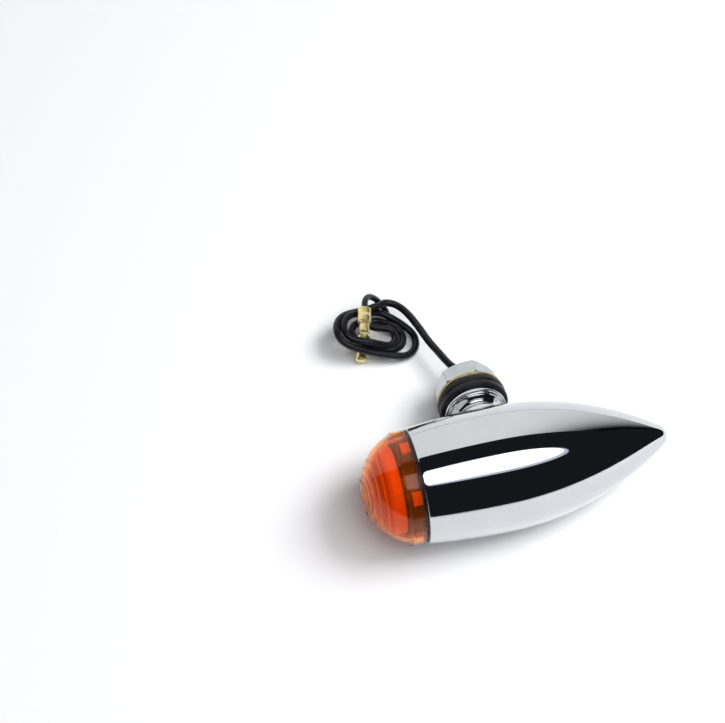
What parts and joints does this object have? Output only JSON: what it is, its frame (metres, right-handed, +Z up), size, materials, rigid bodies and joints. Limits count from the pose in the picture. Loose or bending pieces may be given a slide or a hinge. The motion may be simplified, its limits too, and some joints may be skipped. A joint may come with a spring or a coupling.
{
  "type": "turn signal indicator",
  "caption": "Bullet-shaped chromed turn signal lamp with an amber screw-in lens, a hollow-stud stem clamp and a coiled lead ending in bullet plugs.",
  "frame": {"origin": "under the middle of the lamp without its free lead, on the table that it lies on", "axes": "+X along the lamp's axis from the lens to the tail, +Y away from the lamp towards the clamp and lead, +Z up"},
  "size_m": [0.105, 0.1058, 0.042],
  "materials": {
    "chrome": "polished",
    "amber_lens": "clear amber, glossy",
    "reflector_plastic": "metallised plastic",
    "rubber": "matt",
    "zinc_steel": "bright zinc plate",
    "yellow_zinc": "yellow zinc plate",
    "dark_steel": "dark spring steel",
    "steel_wire": "drawn",
    "bulb_glass": "clear",
    "brass": "bright",
    "insulator": "moulded phenolic",
    "solder": "dull",
    "cable_pvc": "glossy black sleeve"
  },
  "bodies": {
    "housing": {"housing_shell": "chrome", "reflector": "reflector_plastic", "reflector_screws": "zinc_steel", "bulb_holder": "zinc_steel", "contact_insulator": "insulator", "contact_spring": "steel_wire", "live_tag": "brass", "earth_tag": "brass", "live_wire": "cable_pvc", "earth_wire": "cable_pvc", "stem": "chrome", "mounting_stud": "zinc_steel", "stem_nut": "zinc_steel", "stem_spring_washer": "zinc_steel", "inner_rubber_washer": "rubber", "cable_bush": "rubber", "lead_cable": "cable_pvc", "cable_coil": "cable_pvc", "live_tail": "cable_pvc", "earth_tail": "cable_pvc", "live_plug": "brass", "earth_plug": "brass"},
    "lens_seal": {"lens_gasket": "rubber"},
    "lens": {"lens": "amber_lens"},
    "bulb": {"bulb_glass": "bulb_glass", "bulb_stem": "bulb_glass", "bulb_filament": "steel_wire", "bulb_cap": "brass", "bulb_base_insulator": "insulator", "bulb_contact": "solder"},
    "plunger": {"contact_plunger": "brass"},
    "clamp_stack": {"outer_rubber_washer": "rubber", "flat_washer": "yellow_zinc", "lock_washer": "dark_steel"},
    "clamp_nut": {"hex_nut": "zinc_steel"}
  },
  "joints": [
    {"name": "clamp_slide", "type": "slide", "parent": "housing", "child": "clamp_stack", "axis": [0, 0.9648, -0.2628], "range_m": [0, 0.005]},
    {"name": "nut_turn", "type": "hinge", "parent": "clamp_stack", "child": "clamp_nut", "pos_m": [-0.006, 0.02299, 0.0117], "axis": [0, 0.9648, -0.2628], "range_deg": [0, 1029.1]},
    {"name": "lens_slide", "type": "slide", "parent": "housing", "child": "lens_seal", "axis": [-1, 0, 0], "range_m": [0, 0.0044]},
    {"name": "lens_turn", "type": "hinge", "parent": "lens_seal", "child": "lens", "pos_m": [-0.034, -0.01117, 0.021], "axis": [-1, 0, 0], "range_deg": [0, 792.5]},
    {"name": "bulb_push", "type": "slide", "parent": "housing", "child": "bulb", "axis": [1, 0, 0], "range_m": [0, 0.0015], "stiffness_N_per_m": 1500, "springref_m": -0.002},
    {"name": "plunger_push", "type": "slide", "parent": "housing", "child": "plunger", "axis": [1, 0, 0], "range_m": [0, 0.0015], "deforming": ["contact_spring"]}
  ],
  "couplings": [
    {"joint": "nut_turn", "follows": "clamp_slide", "rad_per_m": 3590.4},
    {"joint": "lens_turn", "follows": "lens_slide", "rad_per_m": 3141.6},
    {"joint": "plunger_push", "follows": "bulb_push", "ratio": 1}
  ]
}
